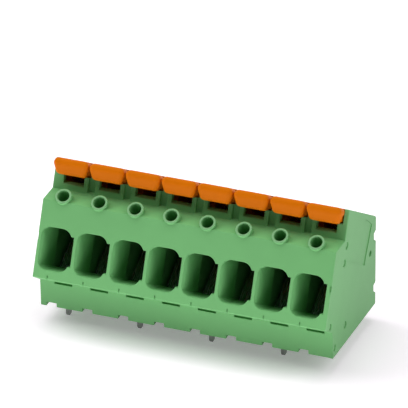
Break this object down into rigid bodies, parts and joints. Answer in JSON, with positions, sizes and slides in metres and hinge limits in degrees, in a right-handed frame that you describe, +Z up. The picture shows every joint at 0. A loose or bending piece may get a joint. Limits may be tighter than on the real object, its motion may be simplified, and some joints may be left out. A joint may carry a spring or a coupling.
{
  "type": "pcb terminal block",
  "caption": "Green row of wire clamps for a circuit board: slanted wire openings, tilted test holes, orange release levers on top and zigzag solder pins below.",
  "frame": {"origin": "middle of the foot on the board face", "axes": "+X along the row towards the end cover, +Y from the wire side to the back, +Z up from the board"},
  "size_m": [0.0608, 0.0286, 0.0333],
  "materials": {
    "housing_plastic": "satin",
    "lever_plastic": "satin",
    "spring_steel": "bright rolled",
    "tinned_copper": "dull tin plate"
  },
  "bodies": {
    "housing": {"pole_housing_1": "housing_plastic", "pole_housing_2": "housing_plastic", "pole_housing_3": "housing_plastic", "pole_housing_4": "housing_plastic", "pole_housing_5": "housing_plastic", "pole_housing_6": "housing_plastic", "pole_housing_7": "housing_plastic", "pole_housing_8": "housing_plastic", "end_cover": "housing_plastic", "clamp_spring_1": "spring_steel", "clamp_spring_2": "spring_steel", "clamp_spring_3": "spring_steel", "clamp_spring_4": "spring_steel", "clamp_spring_5": "spring_steel", "clamp_spring_6": "spring_steel", "clamp_spring_7": "spring_steel", "clamp_spring_8": "spring_steel", "current_bar_1": "tinned_copper", "current_bar_2": "tinned_copper", "current_bar_3": "tinned_copper", "current_bar_4": "tinned_copper", "current_bar_5": "tinned_copper", "current_bar_6": "tinned_copper", "current_bar_7": "tinned_copper", "current_bar_8": "tinned_copper"},
    "lever_1": {"lever_1": "lever_plastic"},
    "lever_2": {"lever_2": "lever_plastic"},
    "lever_3": {"lever_3": "lever_plastic"},
    "lever_4": {"lever_4": "lever_plastic"},
    "lever_5": {"lever_5": "lever_plastic"},
    "lever_6": {"lever_6": "lever_plastic"},
    "lever_7": {"lever_7": "lever_plastic"},
    "lever_8": {"lever_8": "lever_plastic"}
  },
  "joints": [
    {"name": "lever_1_hinge", "type": "hinge", "parent": "housing", "child": "lever_1", "pos_m": [-0.02625, 0.00109, 0.01762], "axis": [-1, 0, 0], "range_deg": [0, 60], "deforming": ["clamp_spring_1"]},
    {"name": "lever_2_hinge", "type": "hinge", "parent": "housing", "child": "lever_2", "pos_m": [-0.01875, 0.00109, 0.01762], "axis": [-1, 0, 0], "range_deg": [0, 60], "deforming": ["clamp_spring_2"]},
    {"name": "lever_3_hinge", "type": "hinge", "parent": "housing", "child": "lever_3", "pos_m": [-0.01125, 0.00109, 0.01762], "axis": [-1, 0, 0], "range_deg": [0, 60], "deforming": ["clamp_spring_3"]},
    {"name": "lever_4_hinge", "type": "hinge", "parent": "housing", "child": "lever_4", "pos_m": [-0.00375, 0.00109, 0.01762], "axis": [-1, 0, 0], "range_deg": [0, 60], "deforming": ["clamp_spring_4"]},
    {"name": "lever_5_hinge", "type": "hinge", "parent": "housing", "child": "lever_5", "pos_m": [0.00375, 0.00109, 0.01762], "axis": [-1, 0, 0], "range_deg": [0, 60], "deforming": ["clamp_spring_5"]},
    {"name": "lever_6_hinge", "type": "hinge", "parent": "housing", "child": "lever_6", "pos_m": [0.01125, 0.00109, 0.01762], "axis": [-1, 0, 0], "range_deg": [0, 60], "deforming": ["clamp_spring_6"]},
    {"name": "lever_7_hinge", "type": "hinge", "parent": "housing", "child": "lever_7", "pos_m": [0.01875, 0.00109, 0.01762], "axis": [-1, 0, 0], "range_deg": [0, 60], "deforming": ["clamp_spring_7"]},
    {"name": "lever_8_hinge", "type": "hinge", "parent": "housing", "child": "lever_8", "pos_m": [0.02625, 0.00109, 0.01762], "axis": [-1, 0, 0], "range_deg": [0, 60], "deforming": ["clamp_spring_8"]}
  ]
}
